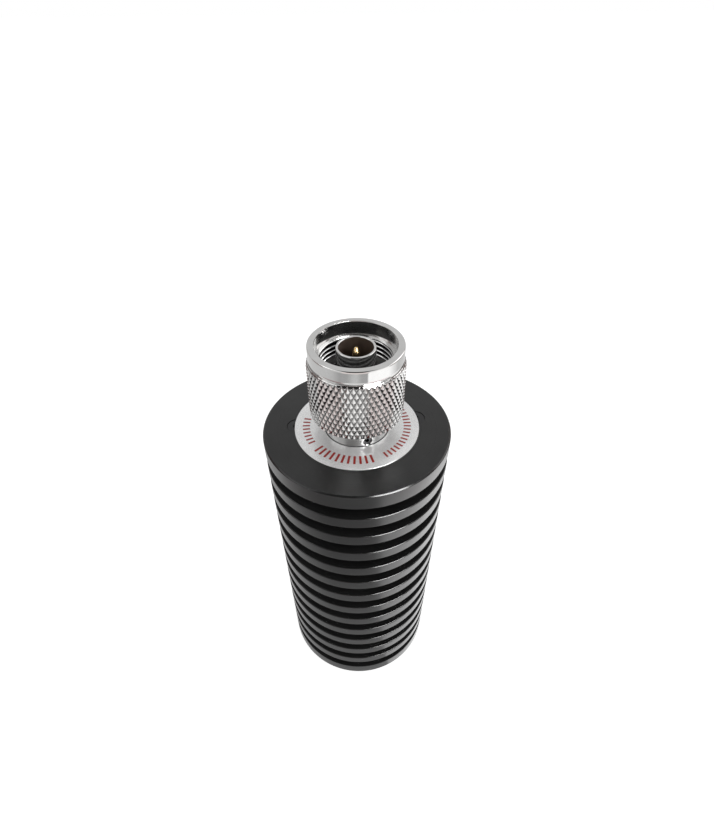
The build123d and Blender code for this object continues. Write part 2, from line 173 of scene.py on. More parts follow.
def eased(outline, default=0.1, steps=3):
    """A closed outline with rounded corners.

    A point (r, z) is rounded by the default size, and a point (r, z, size) by its own, 0 for a sharp corner.
    """
    points = []
    count = len(outline)
    for k, corner in enumerate(outline):
        r, z = corner[:2]
        size = corner[2] if len(corner) > 2 else default
        if size == 0 or r == 0:
            points.append((r, z))
            continue
        ends = []
        for other in (outline[k - 1], outline[(k + 1) % count]):
            run = math.hypot(other[0] - r, other[1] - z)
            cut = min(size, 0.45 * run) / run
            ends.append((r + (other[0] - r) * cut, z + (other[1] - z) * cut))
        for s in range(steps + 1):
            t = s / steps
            weights = ((1 - t) ** 2, 2 * t * (1 - t), t ** 2)
            points.append(tuple(
                weights[0] * ends[0][axis] + weights[1] * (r, z)[axis] + weights[2] * ends[1][axis]
                for axis in range(2)))
    return points


def lathe(name, outline, segments=ROUND):
    """A closed mesh turned about Z from a closed (r, z) outline, which runs from bottom to outside to top."""
    verts, faces, rings = [], [], []
    for r, z in outline:
        if r == 0:
            rings.append([len(verts)] * segments)
            verts.append((0, 0, z))
            continue
        rings.append(list(range(len(verts), len(verts) + segments)))
        for i in range(segments):
            turn = 2 * math.pi * i / segments
            verts.append((r * math.cos(turn), r * math.sin(turn), z))
    for k, low in enumerate(rings):
        high = rings[(k + 1) % len(rings)]
        for i in range(segments):
            j = (i + 1) % segments
            corners = dict.fromkeys((low[i], low[j], high[j], high[i]))
            if len(corners) > 2:
                faces.append(tuple(corners))
    return mesh_object(name, verts, faces)


def carve(piece, cutters):
    """Cuts the cutters out of the piece, one after the other, and deletes them."""
    for cutter in cutters:
        cut = piece.modifiers.new("cut", "BOOLEAN")
        cut.operation = "DIFFERENCE"
        cut.solver = "EXACT"
        cut.object = cutter
    bpy.context.view_layer.update()
    graph = bpy.context.evaluated_depsgraph_get()
    mesh = bpy.data.meshes.new_from_object(piece.evaluated_get(graph))
    piece.modifiers.clear()
    piece.data = mesh
    mesh.shade_smooth()
    mesh.set_sharp_from_angle(angle=math.radians(SHARP))
    for cutter in cutters:
        bpy.data.objects.remove(cutter)
    return piece


def weighted(piece):
    """Shading that keeps flat faces flat beside small rounded edges."""
    normals = piece.modifiers.new("weighted", "WEIGHTED_NORMAL")
    normals.keep_sharp = True
    normals.weight = 75
    return piece


def put(cutter, matrix):
    cutter.matrix_world = matrix
    return cutter


def at(x, y, z):
    return Matrix.Translation((x * MM, y * MM, z * MM))


def round_places(radius, angles, height):
    turns = [math.radians(angle) for angle in angles]
    return [at(radius * math.cos(turn), radius * math.sin(turn), height) for turn in turns]


def countersink(head_r, thread_r, depth):
    """Cutter for a flat-headed screw whose face lies at height 0."""
    cone = head_r - thread_r
    hole_r, top_r = thread_r + SCREW_ROOM, head_r + SCREW_ROOM
    outline = [(0, -depth), (hole_r, -depth), (hole_r, -HEAD_RIM - cone)]
    outline += [(top_r, -HEAD_RIM), (top_r, 1), (0, 1)]
    return lathe("cutter", outline, 64)


def heat_sink():
    outline = [(0, 0), (FIN_R, 0, 0.3), (FIN_R, BASE_T, 0.2), (CORE_R, BASE_T, ROOT_ROUND)]
    for i in range(FIN_COUNT):
        foot = BASE_T + FIN_GAP + i * (FIN_GAP + FIN_T)
        top = foot + FIN_T
        outline += [(CORE_R, foot, ROOT_ROUND), (FIN_R, foot, 0.16)]
        outline += [(FIN_R, top - FIN_CHAMFER, CHAMFER_ROUND), (FIN_R - FIN_CHAMFER, top, CHAMFER_ROUND)]
        outline += [(CORE_R, top, ROOT_ROUND)]
    outline += [(CORE_R, CORE_TOP, 0.15), (BORE_R, CORE_TOP, 0.15), (BORE_R, BORE_FLOOR, 0.3)]
    outline += [(0, BORE_FLOOR)]
    piece = lathe("heat_sink_turned", eased(outline, steps=2))
    depth = CORE_TOP - FACE_SCREW_END
    cutters = []
    for place in round_places(FACE_SCREW_PLACE_R, FACE_SCREW_ANGLES, CORE_TOP):
        hole = [(0, -depth), (FACE_SCREW_R + SCREW_ROOM, -depth), (FACE_SCREW_R + SCREW_ROOM, 1), (0, 1)]
        cutters.append(put(lathe("cutter", hole, 48), place))
    return weighted(carve(piece, cutters))


def face_plate():
    outline = [(NECK_R + NECK_ROOM, CORE_TOP, 0.1), (FIN_R, CORE_TOP, 0.16)]
    outline += [(FIN_R, FACE - PLATE_CHAMFER, 0.05), (FIN_R - PLATE_CHAMFER, FACE, 0.05)]
    outline += [(NECK_R + NECK_ROOM, FACE, 0.12)]
    piece = lathe("face_plate_turned", eased(outline))
    cutters = []
    for place in round_places(FACE_SCREW_PLACE_R, FACE_SCREW_ANGLES, FACE - FACE_SCREW_SINK):
        cutters.append(put(countersink(FACE_SCREW_HEAD_R, FACE_SCREW_R, 6), place))
    return weighted(carve(piece, cutters))


def face_screws():
    """Both flat-headed screws, a hair under the face, with their hexagon sockets."""
    cone = FACE_SCREW_HEAD_R - FACE_SCREW_R
    outline = [(0, -FACE_SCREW_LENGTH), (FACE_SCREW_R - 0.2, -FACE_SCREW_LENGTH)]
    outline += [(FACE_SCREW_R, -FACE_SCREW_LENGTH + 0.2), (FACE_SCREW_R, -HEAD_RIM - cone)]
    outline += [(FACE_SCREW_HEAD_R, -HEAD_RIM, 0.05), (FACE_SCREW_HEAD_R, 0, 0.12), (0, 0)]
    pieces = []
    for place in round_places(FACE_SCREW_PLACE_R, FACE_SCREW_ANGLES, FACE - FACE_SCREW_SINK):
        bpy.ops.mesh.primitive_cylinder_add(vertices=6, radius=FACE_SCREW_SOCKET_R * MM,
                                            depth=2 * FACE_SCREW_SOCKET_DEPTH * MM)
        socket = put(bpy.context.object, place)
        piece = lathe("face_screw_turned", eased(outline), 96)
        piece.data.transform(place)
        pieces.append(carve(piece, [socket]))
    bpy.ops.object.select_all(action="DESELECT")
    for piece in pieces:
        piece.select_set(True)
    bpy.context.view_layer.objects.active = pieces[0]
    bpy.ops.object.join()
    return weighted(pieces[0])


def face_ring():
    outline = [(NECK_R + RING_ROOM, FACE, 0.02), (RING_R, FACE, 0.02)]
    outline += [(RING_R, FACE + RING_T, 0.09), (NECK_R + RING_ROOM, FACE + RING_T, 0.05)]
    return weighted(lathe("face_ring_foil", eased(outline)))


def connector_neck():
    outline = [(WAY_R, NECK_FLANGE_FOOT, 0.2), (CARRIER_R, NECK_FLANGE_FOOT, 0.2)]
    outline += [(CARRIER_R, CORE_TOP, 0.1), (NECK_R, CORE_TOP, 0.1)]
    outline += [(NECK_R, NECK_TOP, 0.18), (NECK_BORE_R, NECK_TOP, 0.1)]
    outline += [(NECK_BORE_R, SPIGOT_FOOT, 0.05), (WAY_R, SPIGOT_FOOT, 0.1)]
    piece = lathe("connector_neck_turned", eased(outline))
    mouth, past = 0.12, 0.38
    hole = [(0, 0), (SET_SCREW_R, 0), (SET_SCREW_R, NECK_R - mouth)]
    hole += [(SET_SCREW_R + mouth + past, NECK_R + past), (0, NECK_R + past)]
    turn = Matrix.Rotation(math.radians(SET_SCREW_ANGLE), 4, "Z") @ Matrix.Rotation(math.pi / 2, 4, "Y")
    cutters = [put(lathe("cutter", hole, 64), at(0, 0, SET_SCREW_Z) @ turn)]
    for place in round_places(CARRIER_SCREW_PLACE_R, CARRIER_SCREW_ANGLES, CORE_TOP):
        cutters.append(put(countersink(CARRIER_SCREW_HEAD_R, CARRIER_SCREW_R, 4), place))
    return weighted(carve(piece, cutters))


def plug_body():
    outline = [(BEAD_SEAT_R, SPIGOT_FOOT, 0.1), (SPIGOT_R, SPIGOT_FOOT, 0.2), (SPIGOT_R, NECK_TOP, 0.05)]
    outline += [(BARREL_R, NECK_TOP, 0.1), (BARREL_R, SNAP_FOOT, 0.05), (SNAP_GROOVE_R, SNAP_FOOT, 0.05)]
    outline += [(SNAP_GROOVE_R, SNAP_TOP, 0.05), (BARREL_R, SNAP_TOP, 0.05), (BARREL_R, GASKET_SEAT, 0.12)]
    outline += [(FERRULE_BOSS_R, GASKET_SEAT, 0.05), (FERRULE_BOSS_R, BOSS_TOP, 0.08)]
    outline += [(FERRULE_R, BOSS_TOP, 0.1), (FERRULE_R, LIP, 0.16), (FERRULE_BORE_R, LIP, 0.22)]
    outline += [(FERRULE_BORE_R, BEAD_STOP, 0.05), (BEAD_SEAT_R, BEAD_STOP, 0.05)]
    return weighted(lathe("plug_body_turned", eased(outline)))


def coupling_gasket():
    outline = [(FERRULE_BOSS_R + GASKET_ROOM, GASKET_SEAT), (BARREL_R, GASKET_SEAT)]
    outline += [(BARREL_R, GASKET_TOP), (FERRULE_BOSS_R + GASKET_ROOM, GASKET_TOP)]
    return weighted(lathe("coupling_gasket_round", eased(outline, 0.35, 5), 192))


def centre_contact():
    outline = [(0, CONTACT_FOOT), (CONDUCTOR_R, CONTACT_FOOT, 0.1)]
    for foot, top in WAISTS:
        outline += [(CONDUCTOR_R, foot, 0.05), (BEAD_NECK_R, foot, 0.03), (BEAD_NECK_R, top, 0.03)]
        outline += [(CONDUCTOR_R, top, 0.05)]
    outline += [(CONDUCTOR_R, PIN_FOOT - 0.35, 0.15), (PIN_R, PIN_FOOT, 0.1), (PIN_R, PIN_TIP - 1.0, 0.35)]
    outline += [(0.3, PIN_TIP - 0.04, 0.24), (0, PIN_TIP)]
    piece = lathe("centre_contact_pin", eased(outline, steps=5), 96)
    bpy.ops.mesh.primitive_cube_add(size=1)
    slot = bpy.context.object
    slot.matrix_world = at(0, 0, CONTACT_FOOT + 0.75) @ Matrix.Diagonal((4 * MM, 0.3 * MM, 3.5 * MM, 1))
    return weighted(carve(piece, [slot]))


# Coupling nut: one grid of columns, with a diamond knurl outside and a helical thread inside

def knurl_cut(column, row):
    """Depth of the crossing grooves, 0 to 1, where column and row count half diamonds."""
    cuts = []
    for along in ((column + row) / 2, (column - row) / 2):
        slope = 2 * abs(along - round(along))
        cuts.append(max(0.0, (slope - KNURL_FLAT) / (1 - KNURL_FLAT)))
    return max(cuts)


def thread_radius(turn, height):
    """Inner radius of a 60 degree thread that climbs one pitch for each turn and runs out under its top."""
    phase = ((height - THREAD_START) / THREAD_PITCH - turn / (2 * math.pi)) % 1.0
    rise = min(1.0, max(0.0, (abs(phase - 0.5) - THREAD_FLOOR) / THREAD_FLANK))
    runout = min(1.0, max(0.0, (THREAD_TOP - height - THREAD_END) / THREAD_RUNOUT))
    groove = (1 - rise) * runout * (THREAD_MAJOR_R - THREAD_MINOR_R)
    return THREAD_MINOR_R + max(groove, THREAD_LEAD - (THREAD_TOP - height))


def coupling_nut():
    columns = 2 * KNURL_COUNT * KNURL_STEPS
    keys, verts, faces = {}, [], []

    def vertex(column, r, z):
        column %= columns
        key = (column, round(r * 1e7), round(z * 1e7))
        if key not in keys:
            turn = 2 * math.pi * column / columns
            keys[key] = len(verts)
            verts.append((r * math.cos(turn), r * math.sin(turn), z))
        return keys[key]

    def add_face(corners):
        corners = tuple(dict.fromkeys(corners))
        if len(corners) > 2:
            faces.append(corners)

    def strip(low, high, split=None):
        """Faces between two rings, each a function that gives (r, z) for a column."""
        for i in range(columns):
            a, b = vertex(i, *low(i)), vertex(i + 1, *low(i + 1))
            c, d = vertex(i + 1, *high(i + 1)), vertex(i, *high(i))
            if split is None:
                add_face((a, b, c, d))
            elif split(i):
                add_face((a, b, d))
                add_face((b, c, d))
            else:
                add_face((a, b, c))
                add_face((a, c, d))

    def circle(r, z):
        return lambda i: (r, z)

    def knurl_ring(j):
        z = KNURL_FOOT + (KNURL_TOP - KNURL_FOOT) * j / (KNURL_ROWS * KNURL_STEPS)
        chamfer = min(FOOT_R + (z - NUT_FOOT), GROOVE_R + 0.3 + 0.8 * (KNURL_TOP - z))

        def ring(i):
            cut = knurl_cut(i / KNURL_STEPS, j / KNURL_STEPS)
            return min(NUT_R - KNURL_DEPTH * cut, chamfer), z
        return ring

    def knurl_split(j):
        """The groove that runs through a face decides which way the face is divided."""
        def leans(i):
            u, v = (i + 0.5) / KNURL_STEPS, (j + 0.5) / KNURL_STEPS
            first, second = ((u + v) / 2, (u - v) / 2)
            return abs(first - round(first)) > abs(second - round(second))
        return leans

    outer = [(NUT_BORE_R, NUT_FOOT, 0.1), (FOOT_R, NUT_FOOT, 0.08)]
    start = eased([(NUT_BORE_R, NUT_FOOT + 1, 0)] + outer + [(FOOT_R + 0.3, NUT_FOOT + 0.3, 0)])[1:-1]
    rings = [circle(r, z) for r, z in start]
    for low, high in zip(rings, rings[1:]):
        strip(low, high)
    knurl = [knurl_ring(j) for j in range(KNURL_ROWS * KNURL_STEPS + 1)]
    strip(rings[-1], knurl[0])
    for j, (low, high) in enumerate(zip(knurl, knurl[1:])):
        strip(low, high, knurl_split(j))

    rim = [(GROOVE_R + 0.3, KNURL_TOP, 0), (GROOVE_R, KNURL_TOP, 0.04), (GROOVE_R, BAND_FOOT, 0.04)]
    rim += [(BAND_R, BAND_FOOT, 0.12), (BAND_R, BAND_FOOT + 0.3, 0), (BAND_R, NUT_TOP - RIM_ROUND - 0.1, 0)]
    rim += [(BAND_R, NUT_TOP, RIM_ROUND), (MOUTH_R, NUT_TOP, 0.14)]
    rim += [(MOUTH_R, THREAD_TOP, 0.04), (THREAD_MINOR_R + THREAD_LEAD, THREAD_TOP, 0)]
    closing = eased(rim, steps=4)
    rings = [knurl[-1]] + [circle(r, z) for r, z in closing]
    for low, high in zip(rings, rings[1:]):
        strip(low, high)

    # The thread's rows climb with the helix and are clipped flat at both ends
    lowest = -THREAD_STEPS * 2
    highest = int((THREAD_TOP - THREAD_FOOT) / THREAD_PITCH * THREAD_STEPS) + THREAD_STEPS * 2

    def thread_point(i, row):
        turn = 2 * math.pi * i / columns
        z = THREAD_FOOT + THREAD_PITCH * (row / THREAD_STEPS + turn / (2 * math.pi))
        z = min(THREAD_TOP, max(THREAD_FOOT, z))
        return thread_radius(turn, z), z

    for row in range(lowest, highest):
        for i in range(columns):
            add_face((vertex(i, *thread_point(i, row + 1)), vertex(i + 1, *thread_point(i + 1, row + 1)),
                      vertex(i + 1, *thread_point(i + 1, row)), vertex(i, *thread_point(i, row))))

    def thread_end(i):
        i %= columns
        return thread_radius(2 * math.pi * i / columns, THREAD_FOOT), THREAD_FOOT

    inner = [(RELIEF_R, THREAD_FOOT, 0), (RELIEF_R, RELIEF_FOOT, 0.1), (NUT_BORE_R, RELIEF_FOOT, 0.1)]
    inner += [(NUT_BORE_R, SNAP_TOP, 0.05), (SNAP_SEAT_R, SNAP_TOP, 0), (SNAP_SEAT_R, SNAP_FOOT, 0)]
    inner += [(NUT_BORE_R, SNAP_FOOT, 0.05), (NUT_BORE_R, NUT_FOOT, 0)]
    inner = eased(inner)[:-1]
    rings = [thread_end] + [circle(r, z) for r, z in inner] + [circle(*start[0])]
    for low, high in zip(rings, rings[1:]):
        strip(low, high)
    return weighted(mesh_object("coupling_nut_knurled", verts, faces, NUT_SHARP))


# Materials

class Graph:
    """Short names for the nodes of one tree."""

    def __init__(self, tree):
        self.tree = tree

    def set(self, socket, value):
        if isinstance(value, bpy.types.NodeSocket):
            self.tree.links.new(value, socket)
        elif value is not None:
            socket.default_value = value

    def node(self, kind, *inputs, **settings):
        node = self.tree.nodes.new("ShaderNode" + kind)
        for key, value in settings.items():
            setattr(node, key, value)
        for socket, value in zip(node.inputs, inputs):
            self.set(socket, value)
        return node

    def math(self, operation, *inputs):
        return self.node("Math", *inputs, operation=operation).outputs[0]

    def add(self, *values):
        total = values[0]
        for value in values[1:]:
            total = self.math("ADD", total, value)
        return total

    def times(self, *values):
        total = values[0]
        for value in values[1:]:
            total = self.math("MULTIPLY", total, value)
        return total

    def length(self, x, y):
        return self.math("SQRT", self.add(self.times(x, x), self.times(y, y)))

    def place(self):
        """Object coordinates in millimetres."""
        where = self.node("TexCoord").outputs["Object"]
        return self.node("VectorMath", where, (1 / MM,) * 3, operation="MULTIPLY").outputs[0]

    def turned_place(self):
        """(radius, height, 0) in millimetres, so that a pattern runs round as turning marks do."""
        x, y, z = self.node("SeparateXYZ", self.place()).outputs
        return self.node("CombineXYZ", self.length(x, y), z, 0.0).outputs[0]

    def noise(self, where, scale, detail=2.0, roughness=0.5):
        noise = self.node("TexNoise")
        self.set(noise.inputs["Vector"], where)
        self.set(noise.inputs["Scale"], scale)
        self.set(noise.inputs["Detail"], detail)
        self.set(noise.inputs["Roughness"], roughness)
        return noise.outputs[0]

    def span(self, value, low, high, to_low=0.0, to_high=1.0):
        """Maps low..high to to_low..to_high, clamped."""
        return self.node("MapRange", value, low, high, to_low, to_high).outputs[0]

    def mix(self, factor, first, second):
        node = self.node("Mix", data_type="RGBA")
        self.set(node.inputs["Factor"], factor)
        self.set(node.inputs[6], first)
        self.set(node.inputs[7], second)
        return node.outputs[2]

    def seen_directly(self):
        """1 for what the camera sees itself, in a reflection or through a surface, otherwise 0."""
        path = self.node("LightPath").outputs
        reflected = self.math("MAXIMUM", path["Is Glossy Ray"], path["Is Transmission Ray"])
        return self.math("MAXIMUM", path["Is Camera Ray"], reflected)


class Finish(Graph):
    """One procedural material on the principled shader."""

    def __init__(self, name, **sockets):
        self.material = bpy.data.materials.new(name)
        self.material.use_nodes = True
        super().__init__(self.material.node_tree)
        self.shader = self.tree.nodes["Principled BSDF"]
        for socket, value in sockets.items():
            self.set(self.shader.inputs[socket.capitalize()], value)

    def bump(self, height, strength, distance):
        node = self.node("Bump")
        self.set(node.inputs["Strength"], strength)
        self.set(node.inputs["Distance"], distance * MM)
        self.set(node.inputs["Height"], height)
        self.set(self.shader.inputs["Normal"], node.outputs[0])


def grey(level):
    return (level, level, level, 1)


NICKEL = (0.62, 0.618, 0.612)


def black_anodised():
    f = Finish("black_anodised", roughness=0.4)
    f.set(f.shader.inputs["Specular IOR Level"], 0.38)
    place = f.place()
    turned = f.turned_place()
    marks = f.noise(turned, 9.0, 3.0, 0.6)
    cloud = f.noise(place, 0.18, 2.0)
    tone = f.span(cloud, 0.3, 0.7)
    f.set(f.shader.inputs["Base Color"], f.mix(tone, grey(0.013), grey(0.018)))
    r = f.node("SeparateXYZ", turned).outputs[0]
    edge = f.times(f.span(r, FIN_R - 0.34, FIN_R - 0.3), f.span(r, FIN_R - 0.03, FIN_R - 0.01, 1.0, 0.0))
    f.set(f.shader.inputs["Roughness"], f.add(f.span(marks, 0.3, 0.7, 0.27, 0.31), f.times(edge, -0.12)))
    f.bump(marks, 0.08, 0.01)
    return f.material


def nickel():
    """Bright plate, with painted shade in the roots of thread and knurl, duller in the mouth and under the thread.
    """
    f = Finish("nickel")
    place = f.place()
    turned = f.turned_place()
    r, z, _ = f.node("SeparateXYZ", turned).outputs
    # Painted shade: the thread's roots and flanks are set near black (grey 0.08).
    painted_root_shade = f.times(f.span(r, THREAD_MINOR_R + 0.02, THREAD_MINOR_R + 0.14),
                   f.math("LESS_THAN", r, THREAD_MAJOR_R + 0.1), f.math("LESS_THAN", z, THREAD_TOP - 0.1),
                   f.math("GREATER_THAN", z, THREAD_FOOT - 0.1))
    # Painted shade: the knurl's valleys darken with depth towards dark grey (grey 0.12).
    painted_valley_shade = f.times(f.span(r, NUT_R - KNURL_DEPTH, NUT_R - 0.45 * KNURL_DEPTH, 0.85, 0.0),
                     f.math("GREATER_THAN", r, NUT_R - KNURL_DEPTH - 0.05), f.math("LESS_THAN", z, KNURL_TOP))
    mouth = f.times(f.math("GREATER_THAN", z, THREAD_TOP + 0.1), f.math("LESS_THAN", r, MOUTH_R + 0.05))
    relief = f.times(f.math("GREATER_THAN", z, RELIEF_FOOT), f.math("LESS_THAN", z, THREAD_FOOT + 0.05),
                     f.math("LESS_THAN", r, MOUTH_R), f.math("GREATER_THAN", r, NUT_BORE_R + 0.1))
    marks = f.noise(turned, 14.0, 3.0, 0.65)
    smudge = f.noise(place, 0.35, 3.0, 0.6)
    tone = f.span(smudge, 0.3, 0.7)
    dull = tuple(0.93 * c for c in NICKEL)
    plate = f.mix(painted_valley_shade, f.mix(tone, (*dull, 1), (*NICKEL, 1)), grey(0.12))
    f.set(f.shader.inputs["Base Color"], f.mix(painted_root_shade, plate, grey(0.08)))
    polish = f.span(f.add(marks, smudge), 0.7, 1.3, 0.05, 0.09)
    f.set(f.shader.inputs["Roughness"], f.add(polish, f.times(mouth, 0.08), f.times(relief, 0.3)))
    f.set(f.shader.inputs["Metallic"], f.add(1.0, f.times(mouth, -0.03), f.times(relief, -0.55)))
    f.bump(marks, 0.05, 0.006)
    return f.material


def plug_nickel():
    """Nickel outside; the ferrule's bore is painted dark brown, as painted shade of the deep bore."""
    f = Finish("nickel_plug", metallic=1.0)
    turned = f.turned_place()
    r, z, _ = f.node("SeparateXYZ", turned).outputs
    marks = f.noise(turned, 14.0, 3.0, 0.65)
    # Painted shade: the ferrule's deep bore is set dark brown, dull and little metallic.
    painted_bore_shade = f.math("LESS_THAN", r, FERRULE_BORE_R + 0.03)
    outside = f.times(f.math("GREATER_THAN", z, BOSS_TOP), f.math("LESS_THAN", z, LIP - 0.2))
    plate = f.mix(outside, (*NICKEL, 1), (0.56, 0.558, 0.553, 1))
    f.set(f.shader.inputs["Base Color"], f.mix(painted_bore_shade, plate, (0.06, 0.042, 0.031, 1)))
    f.set(f.shader.inputs["Metallic"], f.span(painted_bore_shade, 0.0, 1.0, 1.0, 0.2))
    polish = f.span(marks, 0.3, 0.7, 0.05, 0.09)
    f.set(f.shader.inputs["Roughness"], f.add(polish, f.times(painted_bore_shade, 0.45), f.times(outside, 0.08)))
    f.bump(marks, 0.05, 0.006)
    return f.material


# Rows of strokes on the ring: first and last stroke in degrees, strokes, inner and outer radius, stroke width
STROKES = (
    (-190.0, -150.0, 8, 10.5, 12.1, 0.46),
    (-137.0, -74.0, 11, 10.0, 12.3, 0.52),
    (-58.0, 24.0, 16, 10.5, 12.1, 0.46),
)
STROKE_EDGE = 0.03          # half the width over which a stroke's colour fades


def foil():
    """Silver foil, with plain red strokes round it in place of the print."""
    f = Finish("foil")
    place = f.place()
    x, y, _ = f.node("SeparateXYZ", place).outputs
    r = f.length(x, y)
    angle = f.times(f.math("ARCTAN2", y, x), 180 / math.pi)

    def within(distance, half_width):
        return f.span(distance, half_width - STROKE_EDGE, half_width + STROKE_EDGE, 1.0, 0.0)

    rows = []
    for first, last, strokes, inner, outer, width in STROKES:
        step = (last - first) / (strokes - 1)
        from_first = f.math("WRAP", f.math("SUBTRACT", angle, first - step / 2), 360.0, 0.0)
        in_steps = f.math("DIVIDE", from_first, step)
        off = f.math("ABSOLUTE", f.math("SUBTRACT", f.math("FRACT", in_steps), 0.5))
        across = within(f.times(off, math.radians(step), r), width / 2)
        radial = f.math("ABSOLUTE", f.math("SUBTRACT", r, (inner + outer) / 2))
        along = within(radial, (outer - inner) / 2)
        rows.append(f.times(across, along, f.math("LESS_THAN", in_steps, float(strokes))))
    marked = rows[0]
    for row in rows[1:]:
        marked = f.math("MAXIMUM", marked, row)
    crinkle = f.noise(place, 0.9, 3.0, 0.55)
    grain = f.noise(place, 12.0, 2.0, 0.6)
    silver = f.mix(f.span(crinkle, 0.3, 0.7), grey(0.82), grey(0.88))
    f.set(f.shader.inputs["Base Color"], f.mix(marked, silver, (0.32, 0.026, 0.02, 1)))
    f.set(f.shader.inputs["Metallic"], f.span(marked, 0.0, 1.0, 0.4, 0.0))
    f.set(f.shader.inputs["Roughness"], f.span(grain, 0.3, 0.7, 0.24, 0.32))
    f.bump(crinkle, 0.2, 0.03)
    return f.material


def metal(name, base, rough, bump=0.1, scale=10.0):
    """Turned or drawn metal."""
    f = Finish(name, metallic=1.0)
    marks = f.noise(f.turned_place(), scale, 3.0, 0.6)
    dull = tuple(0.88 * c for c in base)
    f.set(f.shader.inputs["Base Color"], f.mix(f.span(marks, 0.3, 0.7), (*dull, 1), (*base, 1)))
    f.set(f.shader.inputs["Roughness"], f.span(marks, 0.3, 0.7, rough * 0.8, rough * 1.2))
    f.bump(marks, bump, 0.008)
    return f.material


def dry(name, base, rough):
    """Moulded or sintered surfaces."""
    f = Finish(name)
    mottle = f.noise(f.place(), 6.0, 3.0, 0.6)
    dull = tuple(0.85 * c for c in base)
    f.set(f.shader.inputs["Base Color"], f.mix(f.span(mottle, 0.3, 0.7), (*dull, 1), (*base, 1)))
    f.set(f.shader.inputs["Roughness"], f.span(mottle, 0.3, 0.7, rough * 0.9, rough * 1.1))
    f.bump(mottle, 0.1, 0.02)
    return f.material


MATERIALS = {
    "black_anodised": black_anodised(),
    "nickel": nickel(),
    "gold": metal("gold", (0.88, 0.67, 0.34), 0.26),
    "foil": foil(),
    "black_steel": metal("black_steel", (0.055, 0.055, 0.056), 0.34),
    "spring_steel": metal("spring_steel", (0.45, 0.44, 0.43), 0.3),
    "seal_rubber": dry("seal_rubber", (0.02, 0.02, 0.02), 0.7),
    "white_dielectric": dry("white_dielectric", (0.78, 0.77, 0.74), 0.45),
    "plain_brass": metal("plain_brass", (0.72, 0.52, 0.25), 0.3),
    "bare_copper": metal("bare_copper", (0.80, 0.42, 0.28), 0.32),
    "plated_copper": metal("plated_copper", (0.66, 0.60, 0.52), 0.3),
    "silver_strip": metal("silver_strip", (0.86, 0.85, 0.82), 0.25),
    "chip_ceramic": dry("chip_ceramic", (0.66, 0.65, 0.62), 0.5),
}


def dress(piece, node, slot, body="load_body", material=None):
    """The finer piece stands for its node, with the slot's finish, and rides on the node's body."""
    piece.data.materials.clear()
    piece.data.materials.append(material or MATERIALS[slot])
    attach(piece, body)
    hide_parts(node)
    return piece


dress(heat_sink(), "heat_sink", "black_anodised")
dress(face_plate(), "face_plate", "black_anodised")
dress(face_screws(), "face_screws", "black_steel")
dress(face_ring(), "face_ring", "foil")
# The neck's nickel is set darker than the nut's: painted shade under the nut's overhang.
dress(connector_neck(), "connector_neck", "nickel",
      material=metal("nickel_neck", (0.5, 0.498, 0.493), 0.11, 0.05, 14.0))
dress(plug_body(), "plug_body", "nickel", material=plug_nickel())
dress(coupling_gasket(), "coupling_gasket", "seal_rubber")
dress(centre_contact(), "centre_contact", "gold")
dress(coupling_nut(), "coupling_nut", "nickel", "nut")

# The other nodes keep their own meshes and get a material of their slot
SLOTS = {part["node"]: part["material_slot"] for part in frame["record"]["subparts"]}
for name, node in NODES.items():
    if node.hide_render:
        continue
    finish = MATERIALS[SLOTS[name]]
    for place in node.material_slots:
        place.material = finish


# Floor, world, lights and camera

# What stands round the table in reflections: first and last degree from the front, which rise to the right,
# and colour
SURROUNDINGS = (
    (-140, -116, (0.68, 0.66, 0.65, 1)),
    (-110, -76, (0.27, 0.205, 0.19, 1)),
    (-74, -36, (0.85, 0.84, 0.835, 1)),
    (-30, 26, (1.16, 1.04, 1.02, 1)),
    (30, 74, (1.5, 1.49, 1.48, 1)),
    (80, 135, (0.47, 0.4, 0.385, 1)),
)

# The floor in reflections, in three zones: near the fins, where the knurl sees it, and where the nut's band
# sees it. Each has degrees from the front, level and redness.
NEAR_FLOOR = (
    (-180, 0.7, 0), (-150, 0.7, 0), (-105, 1.1, 0), (-60, 0.66, 0), (-30, 0.42, 0), (0, 0.5, 0), (26, 0.6, 0),
    (27, 2.4, 0), (60, 3.0, 0), (92, 3.1, 0), (125, 1.7, 0), (155, 1.1, 0), (180, 0.7, 0),
)
KNURL_FLOOR = (
    (-180, 0.9, 0), (-95, 0.9, 0), (-78, 0.34, 0.4), (-38, 0.34, 0.4), (-24, 1.4, 0), (24, 1.4, 0),
    (32, 0.95, 0.24), (70, 0.95, 0.24), (90, 1.5, 0), (180, 0.8, 0),
)
BAND_FLOOR = (
    (-180, 0.8, 0), (-72, 0.8, 0), (-55, 0.74, 0), (-38, 0.54, 0), (-22, 0.54, 0), (-8, 0.76, 0), (0, 0.8, 0),
    (12, 0.58, 0), (26, 0.58, 0), (27, 1.6, 0), (80, 1.6, 0), (110, 0.8, 0), (180, 0.8, 0),
)


# Distances from the axis in millimetres over which one zone passes into the next
SINK_SHADE = (38, 75)
TO_KNURL_FLOOR = (98, 104)
TO_BAND_FLOOR = (137, 141)
TO_ROOM = (180, 240)

# Parts of the room in reflections: degrees from the front and height of the direction, each fading in between
# its first two numbers and out between the others, and level
VIEWER = ((-86, -70, 12, 16), (0.40, 0.46, 0.82, 0.88), 0.04)
WINDOW = ((17, 19, 52, 60), (0.40, 0.46, 0.62, 0.68), 30.0)
WINDOW_REFLECTIONS = 3      # more reflections of it in the nut's mouth are only specks


def front_angle(g, x, y):
    """Degrees round the axis from the front, rising to the right."""
    return g.times(g.math("ARCTAN2", x, g.times(y, -1.0)), 180 / math.pi)


def surroundings(g, angle):
    level = grey(0.8)
    for first, last, colour in SURROUNDINGS:
        within = g.times(g.span(angle, first - 5, first + 1), g.span(angle, last - 1, last + 5, 1.0, 0.0))
        level = g.mix(within, level, colour)
    return level


